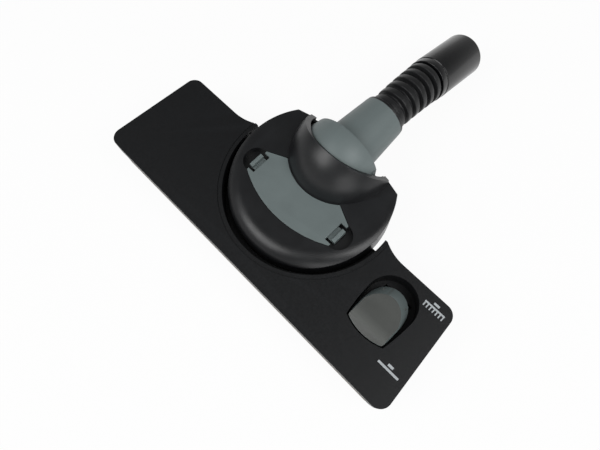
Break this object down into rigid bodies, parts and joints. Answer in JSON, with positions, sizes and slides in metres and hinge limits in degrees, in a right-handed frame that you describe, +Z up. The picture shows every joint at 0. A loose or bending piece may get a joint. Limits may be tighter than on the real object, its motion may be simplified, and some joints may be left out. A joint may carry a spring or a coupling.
{
  "type": "vacuum floor nozzle",
  "caption": "Vacuum multi-purpose floor nozzle: wide plate with turning round head, tilting ball neck, ribbed cuff and connector tube, and a pedal that lowers the brushes.",
  "frame": {"origin": "middle of the sole's underside, on the floor", "axes": "+X along the plate to the pedal end, +Y back to the connector tube, +Z up"},
  "size_m": [0.2882, 0.2678, 0.073],
  "materials": {
    "shell_black": "fine matte texture",
    "gloss_black": "gloss",
    "grey_plastic": "satin",
    "pedal_grey": "satin",
    "steel": "brushed",
    "bumper": "matte",
    "rubber_black": "satin",
    "bristle": "bristle",
    "lint_felt": "short pile"
  },
  "bodies": {
    "nozzle": {"top_cover": "shell_black", "base_housing": "shell_black", "sole_plate": "steel", "front_bumper": "bumper", "lint_strip_front": "lint_felt", "lint_strip_rear": "lint_felt", "cover_screws": "steel", "pedal_pin": "steel", "pedal_spring": "steel"},
    "carrier": {"brush_carrier": "shell_black", "front_brush": "bristle", "rear_brush_left": "bristle", "rear_brush_right": "bristle", "lifter": "shell_black"},
    "pedal": {"pedal": "pedal_grey", "cam_pin": "steel"},
    "head": {"head_cover": "shell_black", "head_base": "shell_black", "swivel_ring": "grey_plastic", "swivel_seal": "rubber_black", "ring_screws": "steel", "wheel_axle_left": "steel", "wheel_axle_right": "steel"},
    "wheel_left": {"wheel_left": "rubber_black"},
    "wheel_right": {"wheel_right": "rubber_black"},
    "lid": {"lid": "grey_plastic"},
    "neck": {"neck": "grey_plastic", "neck_ring": "gloss_black"},
    "cuff": {"cuff": "rubber_black"},
    "tube": {"connector_tube": "gloss_black"}
  },
  "joints": [
    {"name": "head_swivel", "type": "hinge", "parent": "nozzle", "child": "head", "pos_m": [0, 0.0395, 0.018], "axis": [0, 0, 1], "range_deg": [-25, 25]},
    {"name": "lid_lift", "type": "slide", "parent": "head", "child": "lid", "axis": [0, 0, 1], "range_m": [0, 0.03]},
    {"name": "neck_tilt", "type": "hinge", "parent": "head", "child": "neck", "pos_m": [0, 0.07, 0.042], "axis": [1, 0, 0], "range_deg": [0, 70]},
    {"name": "cuff_bend", "type": "hinge", "parent": "neck", "child": "cuff", "pos_m": [0, 0.14271, 0.04013], "axis": [1, 0, 0], "range_deg": [-20, 30], "stiffness_Nm_per_rad": 0.4, "deforming": ["cuff"]},
    {"name": "cuff_sway", "type": "hinge", "parent": "cuff", "child": "tube", "pos_m": [0, 0.14271, 0.04013], "axis": [0, 0.1435, 0.9897], "range_deg": [-20, 20], "stiffness_Nm_per_rad": 0.4, "deforming": ["cuff"]},
    {"name": "pedal_rock", "type": "hinge", "parent": "nozzle", "child": "pedal", "pos_m": [0.1002, 0, 0.024], "axis": [1, 0, 0], "range_deg": [-16, 0]},
    {"name": "carrier_lift", "type": "slide", "parent": "nozzle", "child": "carrier", "axis": [0, 0, 1], "range_m": [-0.00613, 0]},
    {"name": "wheel_left_spin", "type": "hinge", "parent": "head", "child": "wheel_left", "pos_m": [-0.0358, 0.0705, 0.0058], "axis": [1, 0, 0], "continuous": true},
    {"name": "wheel_right_spin", "type": "hinge", "parent": "head", "child": "wheel_right", "pos_m": [0.0358, 0.0705, 0.0058], "axis": [1, 0, 0], "continuous": true}
  ],
  "couplings": [
    {"joint": "carrier_lift", "follows": "pedal_rock", "m_per_rad": 0.021929}
  ]
}
